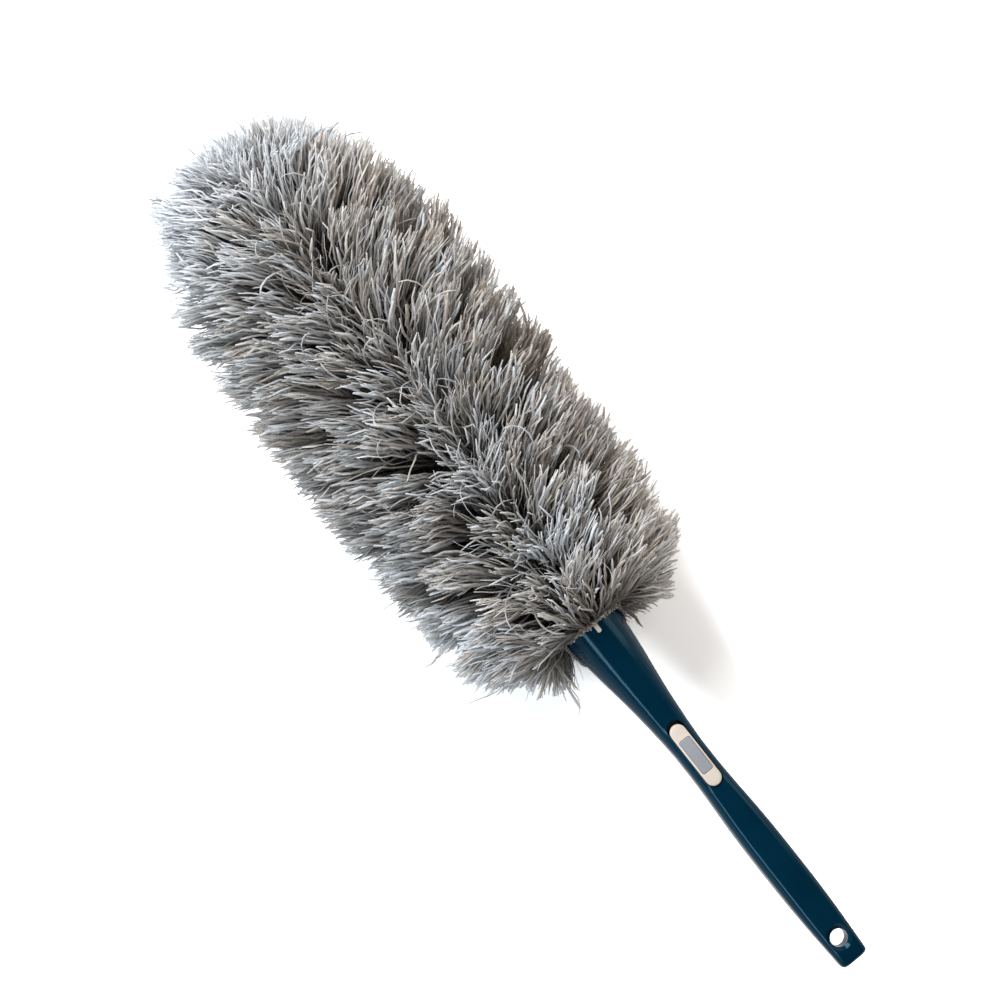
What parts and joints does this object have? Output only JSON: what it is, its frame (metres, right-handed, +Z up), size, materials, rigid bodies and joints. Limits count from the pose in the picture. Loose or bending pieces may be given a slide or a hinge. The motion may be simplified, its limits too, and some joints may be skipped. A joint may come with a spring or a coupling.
{
  "type": "microfiber duster",
  "caption": "Hand duster with a washable microfibre strand sleeve on a flat paddle, plugged into a hollow handle with a sprung release button and a hanging hole.",
  "frame": {"origin": "on the surface the duster lies on, under the middle of its overall length", "axes": "+X along the head towards its tip, +Y to the left of the button side, +Z up out of the button side"},
  "size_m": [0.621, 0.1726, 0.1016],
  "materials": {
    "handle_front_shell": "moulded gloss",
    "handle_back_shell": "moulded gloss",
    "button_spring": "drawn wire",
    "release_button": "satin moulded",
    "button_inlay": "satin pad",
    "stem_plug": "satin moulded",
    "paddle_frame": "satin moulded",
    "frame_pin_left": "turned",
    "frame_pin_right": "turned",
    "cuff_hem": "knitted",
    "cuff_elastic": "woven elastic",
    "strand_row_01": "microfibre strands",
    "strand_row_02": "microfibre strands",
    "strand_row_03": "microfibre strands",
    "strand_row_04": "microfibre strands",
    "strand_row_05": "microfibre strands",
    "strand_row_06": "microfibre strands",
    "strand_row_07": "microfibre strands",
    "strand_row_08": "microfibre strands",
    "strand_row_09": "microfibre strands",
    "strand_row_10": "microfibre strands",
    "strand_row_11": "microfibre strands",
    "strand_row_12": "microfibre strands",
    "strand_row_13": "microfibre strands",
    "strand_row_14": "microfibre strands",
    "strand_row_15": "microfibre strands",
    "strand_row_16": "microfibre strands",
    "strand_row_17": "microfibre strands",
    "tip_tuft": "microfibre strands"
  },
  "bodies": {
    "handle": {"handle_front_shell": "handle_front_shell", "handle_back_shell": "handle_back_shell", "button_spring": "button_spring"},
    "button": {"release_button": "release_button", "button_inlay": "button_inlay"},
    "head_frame": {"stem_plug": "stem_plug", "paddle_frame": "paddle_frame", "frame_pin_left": "frame_pin_left", "frame_pin_right": "frame_pin_right"},
    "sleeve": {"cuff_hem": "cuff_hem", "cuff_elastic": "cuff_elastic", "strand_row_01": "strand_row_01", "strand_row_02": "strand_row_02", "strand_row_03": "strand_row_03", "strand_row_04": "strand_row_04", "strand_row_05": "strand_row_05", "strand_row_06": "strand_row_06", "strand_row_07": "strand_row_07", "strand_row_08": "strand_row_08", "strand_row_09": "strand_row_09", "strand_row_10": "strand_row_10", "strand_row_11": "strand_row_11", "strand_row_12": "strand_row_12", "strand_row_13": "strand_row_13", "strand_row_14": "strand_row_14", "strand_row_15": "strand_row_15", "strand_row_16": "strand_row_16", "strand_row_17": "strand_row_17", "tip_tuft": "tip_tuft"}
  },
  "joints": [
    {"name": "button_press", "type": "slide", "parent": "handle", "child": "button", "axis": [0, 0, -1], "range_m": [0, 0.0025], "stiffness_N_per_m": 1200, "springref_m": -0.001, "deforming": ["button_spring"]},
    {"name": "head_release", "type": "slide", "parent": "handle", "child": "head_frame", "axis": [1, 0, 0], "range_m": [0, 0.08]},
    {"name": "sleeve_removal", "type": "slide", "parent": "head_frame", "child": "sleeve", "axis": [1, 0, 0], "range_m": [0, 0.345]}
  ]
}
